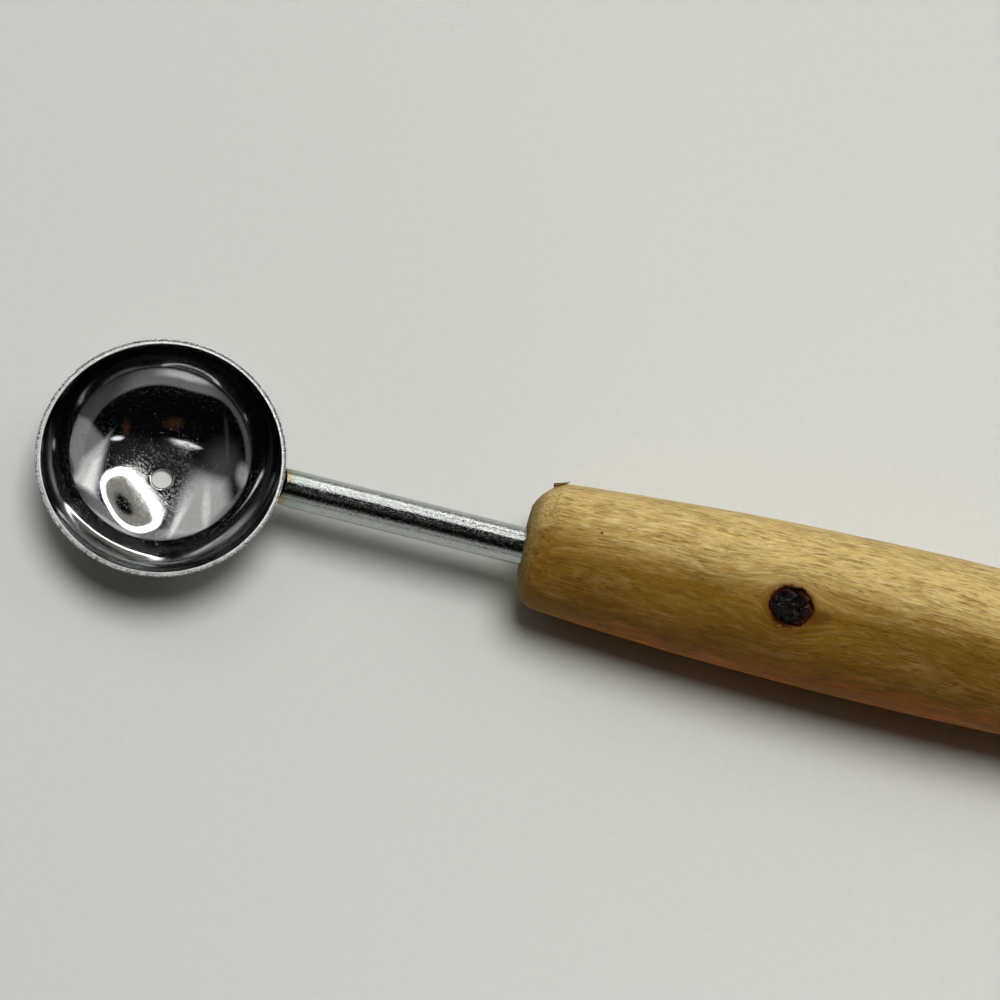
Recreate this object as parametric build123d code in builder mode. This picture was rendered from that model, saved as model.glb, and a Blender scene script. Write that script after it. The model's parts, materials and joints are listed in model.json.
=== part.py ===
from build123d import *
from math import acos, asin, atan2, cos, degrees, hypot, radians, sin, sqrt, tan
import os

os.makedirs("parts", exist_ok=True)

# A melon baller: a shallow cup pressed from plated steel sheet, welded to the end
# of a round steel shank, whose tang is glued into the bore of a turned wooden handle.
# Lengths are in millimetres and angles in degrees. The tool lies as it rests on a
# table, on the bottom of its cup and the belly of its handle: +Z is up, the cup is
# at -X, the handle at +X, and the origin is under the middle of its bounding box.

# Cup
cup_diameter = 30.0  # across the outside of the rim
cup_height = 9.35  # from the rim down to the outside of the bottom
rim_steepness = 71.5  # angle of the wall above level, at the rim
cup_wall = 0.5
rim_rounding = 0.06
vent_diameter = 2.5  # air hole through the middle of the bottom
cup_off_line = 0.75  # how far the cup's middle lies to -Y of the shank's line

# Shank
shank_diameter = 4.6
visible_shank = 29.7  # from the rim to the handle's front face
shank_under_rim = 0.1  # from the rim plane down to the top of the shank
shank_lean = 0.9  # how far the shank points to +Y of the handle's axis
dressing_length = 1.6  # filed off one side of the welded end, along the shank
dressing_depth = 0.5  # how deep the filed side is by the rim
dressing_turn = 35.0  # how far the filed side faces below -Y

# Tang, the stretch of the shank inside the handle
tang_depth = 38.0
tang_chamfer = 0.6
fin_width = 5.6  # where the tang is squeezed flat so that it can't turn
fin_thickness = 3.4
fin_length = 6.0
fin_blend = 2.0  # from the round rod to the flat
fin_from_end = 8.0

# Weld between the cup and the shank
weld_gap = 0.3  # from the cup's wall to the shank's end
weld_inset = 0.25  # how far the weld stays inside the shank's outline
bead_radius = 1.3  # run of weld metal under the joint

# Handle
handle_length = 100.0
handle_diameter = 19.9  # at the belly
handle_end_diameter = 15.3
handle_end_rounding = 3.4
bore_off_centre = 0.7  # how far the shank enters to -Y of the handle's axis

# Adhesive round the tang
glue_film = 0.25
glue_setback = 1.0  # from the handle's front face to the glue
glue_below_tang = 1.0  # glue at the bottom of the bore

# Knot, a dead branch end that the handle's wood has grown round
knot_from_front = 31.9
knot_turn = 20.0  # round the handle from its top towards -Y
knot_length = 5.2
knot_width = 4.6
knot_cover = 1.4  # wood between the knot's inner end and the tang's bore
knot_root_share = 0.5  # of the knot's width and length, at its inner end

overrun = 1.0  # how far each cut passes the surface that it opens

# Sizes that follow from those above
cup_radius = cup_diameter / 2
shank_radius = shank_diameter / 2
handle_radius = handle_diameter / 2
handle_end_radius = handle_end_diameter / 2
rim_above_shank_axis = shank_radius + shank_under_rim
shank_reach = visible_shank + cup_radius
barrel_drop = handle_radius - handle_end_radius
barrel_radius = ((handle_length / 2) ** 2 + barrel_drop**2) / (2 * barrel_drop)

# The cup's outside is part of an ellipsoid, whose middle lies above the rim. Its bottom
# touches the table as a ball of the bottom's radius would
rim_cosine = cup_height / (cup_radius * tan(radians(rim_steepness)) - cup_height)
cup_half_width = cup_radius / sqrt(1 - rim_cosine**2)
cup_half_height = cup_height / (1 - rim_cosine)
middle_above_rim = cup_half_height * rim_cosine
bottom_radius = cup_half_width**2 / cup_half_height

# The cup's middle, measured from the middle of the handle's front face
cup_along = -shank_reach * cos(radians(shank_lean))
cup_across = shank_reach * sin(radians(shank_lean)) - bore_off_centre - cup_off_line


def tilt_on(radius, along, above):
    """Tilt at which the table touches both the cup and a round of the handle's outline."""
    lever = along - cup_along
    rise = above - rim_above_shank_axis - bottom_radius + cup_height
    return asin((radius - bottom_radius) / hypot(lever, rise)) - atan2(rise, lever)


# The tool's axis is tipped until both the cup and the handle touch the table. The handle
# touches on the arc of its belly or, where that is nearly straight, on its front corner.
# Each round has its radius, and its centre's place from the middle of the front face
barrel_above = barrel_radius - handle_radius
corner_arm = barrel_radius - handle_end_rounding
corner_slope = asin((handle_length / 2 - handle_end_rounding) / corner_arm)
belly_round = (barrel_radius, handle_length / 2, barrel_above)
corner_round = (
    handle_end_rounding,
    handle_end_rounding,
    barrel_above - corner_arm * cos(corner_slope),
)
touching_round = corner_round if tilt_on(*corner_round) > corner_slope else belly_round
rest_angle = tilt_on(*touching_round)
touching_radius, touching_along, touching_above = touching_round
front_height = (
    touching_radius - sin(rest_angle) * touching_along - cos(rest_angle) * touching_above
)

# Ends of the bounding box along X, measured from the middle of the front face
tip_x = (cup_along - cup_radius) * cos(rest_angle) - rim_above_shank_axis * sin(rest_angle)
butt_x = (
    (handle_length - handle_end_rounding) * cos(rest_angle)
    + (handle_end_radius - handle_end_rounding) * sin(rest_angle)
    + handle_end_rounding
)

# Planes and axes. In the tool's plane X runs from the cup to the butt, and Z is up
tool = Plane(
    origin=(-(tip_x + butt_x) / 2, -cup_across, front_height),
    x_dir=(cos(rest_angle), 0, sin(rest_angle)),
    z_dir=(-sin(rest_angle), 0, cos(rest_angle)),
)
handle_axis = Axis(tool.origin, tool.x_dir)
handle_side = Plane(origin=tool.origin, x_dir=tool.x_dir, z_dir=-tool.y_dir)

cup_middle = tool.from_local_coords((cup_along, cup_across, rim_above_shank_axis))
cup_plane = Plane(origin=cup_middle, x_dir=tool.x_dir, z_dir=tool.z_dir)
cup_axis = Axis(cup_middle, cup_plane.z_dir)
cup_side = Plane(origin=cup_middle, x_dir=cup_plane.x_dir, z_dir=-cup_plane.y_dir)

entry = tool.from_local_coords((0, -bore_off_centre, 0))
to_cup = tool.y_dir * sin(radians(shank_lean)) - tool.x_dir * cos(radians(shank_lean))
shank_plane = Plane(origin=entry, x_dir=tool.z_dir, z_dir=to_cup)


def cup_ellipsoid(growth, mode):
    """The whole ellipsoid of the cup's outside, grown all round."""
    with BuildSketch(cup_side) as half_oval:
        with BuildLine():
            side = EllipticalCenterArc(
                (0, middle_above_rim),
                cup_half_width + growth,
                cup_half_height + growth,
                -90,
                arc_size=180,
            )
            Line(side @ 0, side @ 1)
        make_face()
    revolve(half_oval.sketch, axis=cup_axis, mode=mode)


def bore_space(start, mode):
    """The bored and broached space in the handle, from a depth down to its bottom."""
    with BuildSketch(shank_plane.offset(-tang_depth - glue_below_tang)) as bored:
        Circle(shank_radius + glue_film)
    extrude(bored.sketch, amount=tang_depth + glue_below_tang - start, mode=mode)
    with BuildSketch(shank_plane.offset(-tang_depth + fin_from_end - glue_film)) as broached:
        Ellipse(fin_thickness / 2 + glue_film, fin_width / 2 + glue_film)
    extrude(broached.sketch, amount=tang_depth - fin_from_end + glue_film - start, mode=mode)


def filed_side():
    """What is filed off one side of the shank's welded end, as a long wedge."""
    filed_way = -tool.y_dir * cos(radians(dressing_turn)) - tool.z_dir * sin(radians(dressing_turn))
    lengthwise = Plane(
        origin=shank_plane.offset(visible_shank).origin,
        x_dir=to_cup,
        z_dir=to_cup.cross(filed_way),
    )
    with BuildSketch(lengthwise) as wedge:
        Polygon(
            (-dressing_length, shank_radius),
            (cup_radius, shank_radius - dressing_depth * (1 + cup_radius / dressing_length)),
            (cup_radius, shank_radius + overrun),
            (-dressing_length, shank_radius + overrun),
            align=None,
        )
    extrude(wedge.sketch, amount=shank_diameter, both=True, mode=Mode.SUBTRACT)


# Cup: two oval arcs one wall apart, left open round the axis for the vent
with BuildPart() as scoop_bowl:
    with BuildSketch(cup_side):
        with BuildLine():
            inside = EllipticalCenterArc(
                (0, middle_above_rim),
                cup_half_width - cup_wall,
                cup_half_height - cup_wall,
                -90,
                arc_size=degrees(acos(middle_above_rim / (cup_half_height - cup_wall))),
            )
            outside = EllipticalCenterArc(
                (0, middle_above_rim),
                cup_half_width,
                cup_half_height,
                -90,
                arc_size=degrees(acos(rim_cosine)),
            )
            Line(inside @ 0, outside @ 0)
            Line(inside @ 1, outside @ 1)
        make_face()
        with Locations((0, -cup_height)):
            Rectangle(vent_diameter, cup_height, mode=Mode.SUBTRACT)
    revolve(axis=cup_axis)
    fillet(scoop_bowl.edges().sort_by(cup_axis)[-2:], radius=rim_rounding)

# Shank: a round rod, squeezed flat along part of its tang, its end coped to the cup
with BuildPart() as shank:
    with BuildSketch(shank_plane.offset(-tang_depth)):
        Circle(shank_radius)
    extrude(amount=fin_from_end)
    chamfer(shank.faces().sort_by(handle_axis)[-1].edges(), length=tang_chamfer)
    for along, thickness, width in (
        (0, shank_diameter, shank_diameter),
        (fin_blend, fin_thickness, fin_width),
        (fin_blend + fin_length, fin_thickness, fin_width),
        (fin_length + 2 * fin_blend, shank_diameter, shank_diameter),
    ):
        with BuildSketch(shank_plane.offset(fin_from_end + along - tang_depth)):
            Ellipse(thickness / 2, width / 2)
    loft(ruled=True)
    with BuildSketch(shank_plane.offset(fin_from_end + fin_length + 2 * fin_blend - tang_depth)):
        Circle(shank_radius)
    extrude(amount=tang_depth - fin_from_end - fin_length - 2 * fin_blend + shank_reach)
    cup_ellipsoid(weld_gap, Mode.SUBTRACT)
    filed_side()

# Weld: metal between the shank's end and the cup, with a bead under the joint
with BuildPart() as weld:
    with BuildSketch(shank_plane.offset(visible_shank)):
        Circle(shank_radius - weld_inset)
    extrude(amount=cup_radius)
    filed_side()
    bead_level = middle_above_rim + rim_above_shank_axis + shank_radius
    bead_from_middle = cup_half_width * sqrt(1 - (bead_level / cup_half_height) ** 2)
    bead_middle = (
        shank_plane.offset(shank_reach - bead_from_middle).origin - tool.z_dir * shank_radius
    )
    with Locations(bead_middle):
        Sphere(bead_radius)
    cup_ellipsoid(0, Mode.SUBTRACT)
    add(shank.part, mode=Mode.SUBTRACT)

# The turned shape of the handle, before it is bored
with BuildPart() as turned_blank:
    with BuildSketch(handle_side) as handle_profile:
        with BuildLine():
            belly = ThreePointArc(
                (0, handle_end_radius),
                (handle_length / 2, handle_radius),
                (handle_length, handle_end_radius),
            )
            Polyline(belly @ 0, (0, 0), (handle_length, 0), belly @ 1)
        make_face()
        fillet(handle_profile.vertices().group_by(Axis.Y)[-1], radius=handle_end_rounding)
    revolve(axis=handle_axis)

# Knot: a plug that narrows inwards, its face flush with the handle
knot_way = tool.z_dir * cos(radians(knot_turn)) - tool.y_dir * sin(radians(knot_turn))
knot_face_radius = (
    handle_radius
    - barrel_radius
    + sqrt(barrel_radius**2 - (knot_from_front - handle_length / 2) ** 2)
)
knot_root_radius = bore_off_centre + shank_radius + glue_film + knot_cover
knot_plane = Plane(
    origin=tool.from_local_coords((knot_from_front, 0, 0)), x_dir=tool.x_dir, z_dir=knot_way
)
with BuildPart() as wood_knot:
    with BuildSketch(knot_plane.offset(knot_root_radius)):
        Ellipse(knot_root_share * knot_length / 2, knot_root_share * knot_width / 2)
    with BuildSketch(knot_plane.offset(knot_face_radius)):
        Ellipse(knot_length / 2, knot_width / 2)
    with BuildSketch(knot_plane.offset(knot_face_radius + overrun)):
        Ellipse(knot_length / 2, knot_width / 2)
    loft(ruled=True)
    add(turned_blank.part, mode=Mode.INTERSECT)

# Handle: the turned blank with its bore and the pocket that holds the knot
with BuildPart() as handle:
    add(turned_blank.part)
    bore_space(-overrun, Mode.SUBTRACT)
    add(wood_knot.part, mode=Mode.SUBTRACT)

# Adhesive: what fills the bore round the tang
with BuildPart() as adhesive:
    bore_space(glue_setback, Mode.ADD)
    add(shank.part, mode=Mode.SUBTRACT)

scoop_bowl.part.label = "scoop_bowl"
export_step(scoop_bowl.part, "parts/scoop_bowl.step")
weld.part.label = "weld"
export_step(weld.part, "parts/weld.step")
shank.part.label = "shank"
export_step(shank.part, "parts/shank.step")
adhesive.part.label = "adhesive"
export_step(adhesive.part, "parts/adhesive.step")
handle.part.label = "handle"
export_step(handle.part, "parts/handle.step")
wood_knot.part.label = "wood_knot"
export_step(wood_knot.part, "parts/wood_knot.step")
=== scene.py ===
import json
from math import acos, asin, cos, degrees, pi, radians, sin, sqrt, tau

import bmesh
import bpy
import numpy as np
from mathutils import Matrix, Vector, noise


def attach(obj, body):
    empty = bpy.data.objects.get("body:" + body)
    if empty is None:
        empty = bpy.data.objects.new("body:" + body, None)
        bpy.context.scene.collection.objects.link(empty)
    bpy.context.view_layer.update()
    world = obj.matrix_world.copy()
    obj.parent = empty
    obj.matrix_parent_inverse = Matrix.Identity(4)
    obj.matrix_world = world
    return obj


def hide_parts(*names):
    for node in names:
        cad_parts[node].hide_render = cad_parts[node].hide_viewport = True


# A melon baller: a plated cup welded to a plated rod, in a turned wooden handle.
# Sizes are in millimetres and angles in degrees, unless a name says otherwise. Meshes
# are made in the frame of the cup or of the handle, then placed in metres.

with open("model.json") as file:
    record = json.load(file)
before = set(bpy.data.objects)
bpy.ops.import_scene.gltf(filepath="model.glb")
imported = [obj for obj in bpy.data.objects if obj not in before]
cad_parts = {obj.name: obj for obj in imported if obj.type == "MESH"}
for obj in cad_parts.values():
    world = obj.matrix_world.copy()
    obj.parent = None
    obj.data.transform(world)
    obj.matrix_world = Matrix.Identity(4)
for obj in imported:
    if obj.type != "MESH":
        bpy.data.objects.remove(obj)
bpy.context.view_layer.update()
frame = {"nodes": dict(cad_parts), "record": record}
nodes = frame["nodes"]
mounts = {mount["name"]: mount for mount in frame["record"]["mounts"]}

MM = 0.001

# Cup
CUP_DIAMETER = 30.0
CUP_HEIGHT = 9.35
CUP_WALL = 0.5
RIM_STEEPNESS = 71.5
VENT_RADIUS = 1.25

# Shank and handle
SHANK_DIAMETER = 4.6
VISIBLE_SHANK = 29.7
HANDLE_LENGTH = 100.0
HANDLE_DIAMETER = 19.9
HANDLE_END_DIAMETER = 15.3
HANDLE_END_ROUNDING = 3.4
BORE_OFF_CENTRE = 0.7
GLUE_FILM = 0.25
TANG_DEPTH = 38.0
GLUE_BELOW_TANG = 1.0

# Knot
KNOT_FROM_FRONT = 31.9
KNOT_TURN = 20.0
KNOT_LENGTH = 5.2
KNOT_WIDTH = 4.6
KNOT_ROOT_RADIUS = 4.65
KNOT_ROOT_SHARE = 0.5

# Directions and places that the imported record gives
tool_up = Vector(mounts["vent_hole"]["axis"])
tool_along = Vector((tool_up.z, 0, -tool_up.x))
tool_across = Vector((0, 1, 0))
from_cup = Vector(mounts["shank_grip"]["axis"])
rim_middle = Vector(mounts["vent_hole"]["pos_m"]) + tool_up * (CUP_HEIGHT - CUP_WALL / 2) * MM
shank_entry = Vector(mounts["shank_grip"]["pos_m"]) + from_cup * VISIBLE_SHANK / 2 * MM
front_middle = shank_entry + tool_across * BORE_OFF_CENTRE * MM
shank_end = shank_entry - from_cup * VISIBLE_SHANK * MM


def local_frame(origin, x_axis, y_axis, z_axis):
    """Matrix from millimetres in a local frame to metres in the shared one."""
    turned = Matrix((x_axis, y_axis, z_axis)).transposed().to_4x4()
    return Matrix.Translation(origin) @ turned @ Matrix.Scale(MM, 4)


cup_frame = local_frame(rim_middle, tool_along, tool_across, tool_up)
handle_frame = local_frame(front_middle, tool_along, tool_across, tool_up)
shank_across = tool_up.cross(from_cup)
shank_frame = local_frame(shank_entry, from_cup, shank_across, from_cup.cross(shank_across))


# Meshes

def moved(points, matrix):
    """Points, as rows, taken through a 4x4 matrix."""
    m = np.array(matrix)
    return np.asarray(points) @ m[:3, :3].T + m[:3, 3]


def bumps(points, size, seed):
    """Smooth noise from about -1 to 1, with features of a size, at each point."""
    shift = np.array((17.3, 5.9, 41.1)) * seed
    return np.array([noise.noise(p) for p in np.asarray(points) / size + shift])


def ease(low, high, value):
    """0 below low and 1 above high, with a smooth step between."""
    t = np.clip((value - low) / (high - low), 0, 1)
    return t * t * (3 - 2 * t)


def skin(rings, looped=False):
    """Points and faces of a skin over rings of points. A ring of one point is a pole."""
    points = np.concatenate(rings)
    starts = np.cumsum([0] + [len(ring) for ring in rings])
    faces = []
    pairs = list(zip(range(len(rings) - 1), range(1, len(rings))))
    if looped:
        pairs.append((len(rings) - 1, 0))
    for i, j in pairs:
        around = max(len(rings[i]), len(rings[j]))
        for k in range(around):
            n = (k + 1) % around
            corners = [
                starts[i] + k % len(rings[i]),
                starts[i] + n % len(rings[i]),
                starts[j] + n % len(rings[j]),
                starts[j] + k % len(rings[j]),
            ]
            faces.append(list(dict.fromkeys(int(c) for c in corners)))
    return points, faces


def capped(rings):
    """Points and faces of a skin over rings that is closed at both ends."""
    return skin([rings[0].mean(0)[None], *rings, rings[-1].mean(0)[None]])


def make_object(name, points, faces, matrix, attributes=None):
    """A smooth mesh object from points in a local frame."""
    mesh = bpy.data.meshes.new(name)
    mesh.from_pydata(moved(points, matrix).tolist(), [], faces)
    mesh.polygons.foreach_set("use_smooth", [True] * len(mesh.polygons))
    for key, values in (attributes or {}).items():
        layer = mesh.attributes.new(key, "FLOAT_VECTOR", "POINT")
        layer.data.foreach_set("vector", np.asarray(values, np.float32).ravel())
    mesh.validate()
    mesh.update()
    made = bpy.data.objects.new(name, mesh)
    bpy.context.scene.collection.objects.link(made)
    return made


def outward(made):
    """Turns a closed mesh's faces outwards."""
    work = bmesh.new()
    work.from_mesh(made.data)
    bmesh.ops.recalc_face_normals(work, faces=work.faces)
    work.to_mesh(made.data)
    work.free()


# Shader nodes

class Nodes:
    """A node tree with short ways to add nodes to it."""

    def __init__(self, tree):
        self.tree = tree

    def add(self, kind, *inputs, out=0, **settings):
        """Adds a node, sets or links its inputs in order, and gives one of its outputs."""
        node = self.tree.nodes.new(kind)
        for key, value in settings.items():
            if key in node.inputs:
                self.put(node.inputs[key], value)
            else:
                setattr(node, key, value)
        for socket, value in zip(node.inputs, inputs):
            self.put(socket, value)
        return node.outputs[out]

    def put(self, socket, value):
        """Links an output to a socket, or sets the socket's own value."""
        if isinstance(value, bpy.types.NodeSocket):
            self.tree.links.new(value, socket)
        elif value is not None:
            socket.default_value = value

    def math(self, operation, a, b=None, clamp=False):
        return self.add("ShaderNodeMath", a, b, operation=operation, use_clamp=clamp)

    def times(self, a, b):
        return self.math("MULTIPLY", a, b)

    def plus(self, a, b):
        return self.math("ADD", a, b)

    def step(self, value, low, high, to_low=0.0, to_high=1.0):
        """A smooth step of a value from low to high, giving to_low up to to_high."""
        return self.add(
            "ShaderNodeMapRange", value, low, high, to_low, to_high, interpolation_type="SMOOTHSTEP"
        )

    def mapping(self, vector, location=(0, 0, 0), turn=(0, 0, 0), scale=(1, 1, 1), kind="POINT"):
        return self.add("ShaderNodeMapping", vector, location, turn, scale, vector_type=kind)

    def noise(self, vector, scale=1.0, detail=2.0, roughness=0.5):
        return self.add(
            "ShaderNodeTexNoise", vector, Scale=scale, Detail=detail, Roughness=roughness
        )

    def streaks(self, vector, scale, detail, roughness):
        """Noise with a scale of its own along each axis."""
        return self.noise(self.mapping(vector, scale=scale), 1.0, detail, roughness)

    def length(self, vector):
        return self.add("ShaderNodeVectorMath", vector, operation="LENGTH", out=1)

    def distance(self, vector, spot):
        return self.add("ShaderNodeVectorMath", vector, tuple(spot), operation="DISTANCE", out=1)

    def mix(self, share, a, b):
        node = self.tree.nodes.new("ShaderNodeMix")
        node.data_type = "RGBA"
        for socket, value in ((node.inputs[0], share), (node.inputs[6], a), (node.inputs[7], b)):
            self.put(socket, value)
        return node.outputs[2]

    def layered(self, base, *layers):
        """A colour with others over it: each a mask, the share that it reaches and a colour."""
        for mask, share, over in layers:
            base = self.mix(mask if share == 1.0 else self.times(mask, share), base, over)
        return base

    def split(self, vector):
        """The x, y and z of a vector."""
        node = self.tree.nodes.new("ShaderNodeSeparateXYZ")
        self.put(node.inputs[0], vector)
        return list(node.outputs)

    def local(self, matrix):
        """Coordinates in millimetres in a local frame."""
        coordinates = self.add("ShaderNodeTexCoord", out=3)
        location, rotation, scale = matrix.decompose()
        return self.mapping(coordinates, location, rotation.to_euler(), scale, kind="TEXTURE")

    def bump(self, height, distance, normal=None):
        """A bump of a height from 0 to 1, with its distance in millimetres."""
        return self.add(
            "ShaderNodeBump", Strength=1.0, Distance=distance * MM, Height=height, Normal=normal
        )

    def surface(self, shader, base, rough, *bumps_on_it):
        """Links a shader's colour, its roughness and its bumps, each a height and a distance."""
        self.put(shader.inputs["Base Color"], base)
        self.put(shader.inputs["Roughness"], rough)
        normal = None
        for height, distance in bumps_on_it:
            normal = self.bump(height, distance, normal)
        self.put(shader.inputs["Normal"], normal)


def colour(red, green, blue):
    """A linear colour from its eight-bit sRGB values."""
    def linear(value):
        share = value / 255
        return share / 12.92 if share <= 0.04045 else ((share + 0.055) / 1.055) ** 2.4
    return (linear(red), linear(green), linear(blue), 1.0)


def new_material(name):
    """A material with its tree and its shader, both empty of links."""
    material = bpy.data.materials.new(name)
    material.use_nodes = True
    tree = Nodes(material.node_tree)
    shader = material.node_tree.nodes["Principled BSDF"]
    return material, tree, shader


def dress(made, material):
    made.data.materials.clear()
    made.data.materials.append(material)


# Cup: two oval shells one wall apart, with a rough sheared rim and a punched vent

CUP_AROUND = 900
INSIDE_RINGS = 66
OUTSIDE_RINGS = 28
VENT_RINGS = (0.15, 0.5, 0.85)
BELOW_LIP = 0.14
# The lip's section: distance from the wall's inner or outer edge, and height
LIP_INSIDE = ((-0.10, -0.085), (-0.15, -0.045), (-0.11, -0.010), (-0.02, 0.0), (0.08, -0.022))
LIP_OUTSIDE = ((0.20, -0.034), (0.14, -0.016), (0.09, -0.002), (0.045, -0.006), (0.012, -0.03))
BEAD_RINGS = 4
BEAD_WIDEST_AT = 170.0
BEAD_NARROWEST = 0.2
PRESS_WAVE = 0.005
PRESS_WAVE_SIZE = 5.0
NICK_SPACING = 0.34
NICK_DEPTH = 0.15
NICK_PATCH_SIZE = 6.0
LIP_RIPPLE = 0.016
LIP_RIPPLE_SIZE = 0.22
BURR_HEIGHT = 0.07
BURR_REACH = 0.42
BURR_RINGS = 10
cup_radius = CUP_DIAMETER / 2
rim_cosine = CUP_HEIGHT / (cup_radius * np.tan(radians(RIM_STEEPNESS)) - CUP_HEIGHT)
cup_half_width = cup_radius / sqrt(1 - rim_cosine**2)
cup_half_height = CUP_HEIGHT / (1 - rim_cosine)
middle_above_rim = cup_half_height * rim_cosine


def shell_profile(inset, count):
    """(radius, height) pairs up one of the cup's surfaces, from the vent to below the lip."""
    across = cup_half_width - inset
    along = cup_half_height - inset
    first = asin(VENT_RADIUS / across)
    last = acos((middle_above_rim + BELOW_LIP) / along)
    angle = np.linspace(first, last, count)
    return np.c_[across * np.sin(angle), middle_above_rim - along * np.cos(angle)]


def press_waves(radius, height, turn):
    """Slight waves left by the press, alike on both sides of the sheet."""
    spots = np.stack([radius * turn[:, 0], radius * turn[:, 1], height * 0], -1)
    flat = spots.reshape(-1, 3)
    wave = bumps(flat, PRESS_WAVE_SIZE, 1) + 0.4 * bumps(flat, PRESS_WAVE_SIZE / 2.5, 2)
    wave = wave.reshape(radius.shape) * PRESS_WAVE * ease(1.5, 4.0, radius)
    height += wave * ease(14.8, 13.5, radius)


def narrow_bead(radius, angles, inner_edge):
    """Leaves the lip's inward bead widest on the side away from the handle."""
    widest = ease(-0.3, 0.9, np.cos(angles - radians(BEAD_WIDEST_AT)))
    for ring in range(INSIDE_RINGS, INSIDE_RINGS + BEAD_RINGS):
        overhang = np.maximum(inner_edge - radius[ring], 0)
        radius[ring] += overhang * (1 - BEAD_NARROWEST) * (1 - widest)


def tear_lip(radius, height, edge_points, inner_edge, outer_edge):
    """Torn notches along the sheared edge, worst in patches."""
    torn = bumps(edge_points, NICK_SPACING, 3) + 0.6 * bumps(edge_points, NICK_SPACING / 2, 4)
    nicks = ease(0.0, 0.5, torn)
    patches = ease(-0.35, 0.25, bumps(edge_points, NICK_PATCH_SIZE, 5))
    rough = nicks * (0.3 + 0.7 * patches)
    last = INSIDE_RINGS + len(LIP_INSIDE) + len(LIP_OUTSIDE) + 2
    for ring in range(INSIDE_RINGS, last):
        across = ease(inner_edge + 0.02, outer_edge - 0.05, radius[ring])
        ripple = LIP_RIPPLE * bumps(edge_points + ring * 0.11, LIP_RIPPLE_SIZE, 6)
        height[ring] += ripple * ease(inner_edge - 0.1, inner_edge + 0.1, radius[ring])
        height[ring] -= NICK_DEPTH * rough * across
        radius[ring] -= NICK_DEPTH * 0.7 * rough * across


def raise_burr(radius, height, vent_points):
    """Rolled-in edge of the vent, with a broken burr."""
    burr = 0.5 + 0.7 * bumps(vent_points, 0.6, 7) + 0.4 * bumps(vent_points, 0.22, 8)
    burr = np.clip(burr, 0, 1.4)
    for ring in [*range(BURR_RINGS), len(radius) - 1]:
        near = ease(VENT_RADIUS + BURR_REACH, VENT_RADIUS + 0.05, radius[ring])
        height[ring] += near * BURR_HEIGHT * burr


def make_cup():
    inside = shell_profile(CUP_WALL, INSIDE_RINGS)
    outside = shell_profile(0, OUTSIDE_RINGS)[::-1]
    inner_edge = inside[-1][0]
    outer_edge = outside[0][0]
    lip = [(inner_edge + across, height) for across, height in LIP_INSIDE]
    lip += [(outer_edge - across, height) for across, height in LIP_OUTSIDE]
    vent_low = outside[-1][1]
    vent_high = inside[0][1]
    vent = [(VENT_RADIUS, vent_low + (vent_high - vent_low) * share) for share in VENT_RINGS]
    profile = np.concatenate([inside, lip, outside, vent])

    angles = np.linspace(0, tau, CUP_AROUND, endpoint=False)
    turn = np.c_[np.cos(angles), np.sin(angles)]
    radius = np.repeat(profile[:, 0][:, None], CUP_AROUND, 1)
    height = np.repeat(profile[:, 1][:, None], CUP_AROUND, 1)
    press_waves(radius, height, turn)
    narrow_bead(radius, angles, inner_edge)
    tear_lip(radius, height, np.c_[turn * cup_radius, angles * 0], inner_edge, outer_edge)
    height = np.minimum(height, 0)
    raise_burr(radius, height, np.c_[turn * VENT_RADIUS, angles * 0])

    rings = np.stack([radius * turn[:, 0], radius * turn[:, 1], height], -1)
    points, faces = skin(list(rings), looped=True)
    return make_object("cup", points, faces, cup_frame)


# Handle: a turned barrel with its bore and the knot's pocket

HANDLE_AROUND = 360
# Rings at the rounded mouth of the bore: depth, and how much wider than the bore
BORE_MOUTH = ((0.25, 0.02), (0.06, 0.09), (0.0, 0.25))
CORNER_RINGS = 22
CORNER_FLATNESS = 0.6
CORNER_FLATTEST_AT = 55.0
CLOSE_TO_KNOT = 0.62
UNEVENNESS = 0.05
CHIP_DEPTH = 0.07
FACE_SLANT = 0.3
POCKET_ROUNDING = 0.14
barrel_drop = (HANDLE_DIAMETER - HANDLE_END_DIAMETER) / 2
barrel_radius = ((HANDLE_LENGTH / 2) ** 2 + barrel_drop**2) / (2 * barrel_drop)
barrel_above = barrel_radius - HANDLE_DIAMETER / 2
corner_arm = barrel_radius - HANDLE_END_ROUNDING
corner_slope = asin((HANDLE_LENGTH / 2 - HANDLE_END_ROUNDING) / corner_arm)
corner_sweep = pi / 2 - corner_slope
face_radius = corner_arm * cos(corner_slope) - barrel_above
bore_radius = SHANK_DIAMETER / 2 + GLUE_FILM
shank_way = Vector((from_cup.dot(tool_along), from_cup.dot(tool_across), 0))
shank_drift = shank_way.y / shank_way.x
knot_around = radians(KNOT_TURN)
knot_up = np.array((0, -sin(knot_around), cos(knot_around)))
knot_side = np.array((0, cos(knot_around), sin(knot_around)))
handle_angles = np.linspace(0, tau, HANDLE_AROUND, endpoint=False)


def barrel_at(along):
    return np.sqrt(barrel_radius**2 - (along - HANDLE_LENGTH / 2) ** 2) - barrel_above


def on_barrel(along, turn):
    """A spot on the handle's skin, turned in degrees from its top towards the near side."""
    around = radians(turn)
    radius = float(barrel_at(along))
    return np.array((along, -radius * sin(around), radius * cos(around)))


knot_room = barrel_at(KNOT_FROM_FRONT) - KNOT_ROOT_RADIUS


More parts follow.
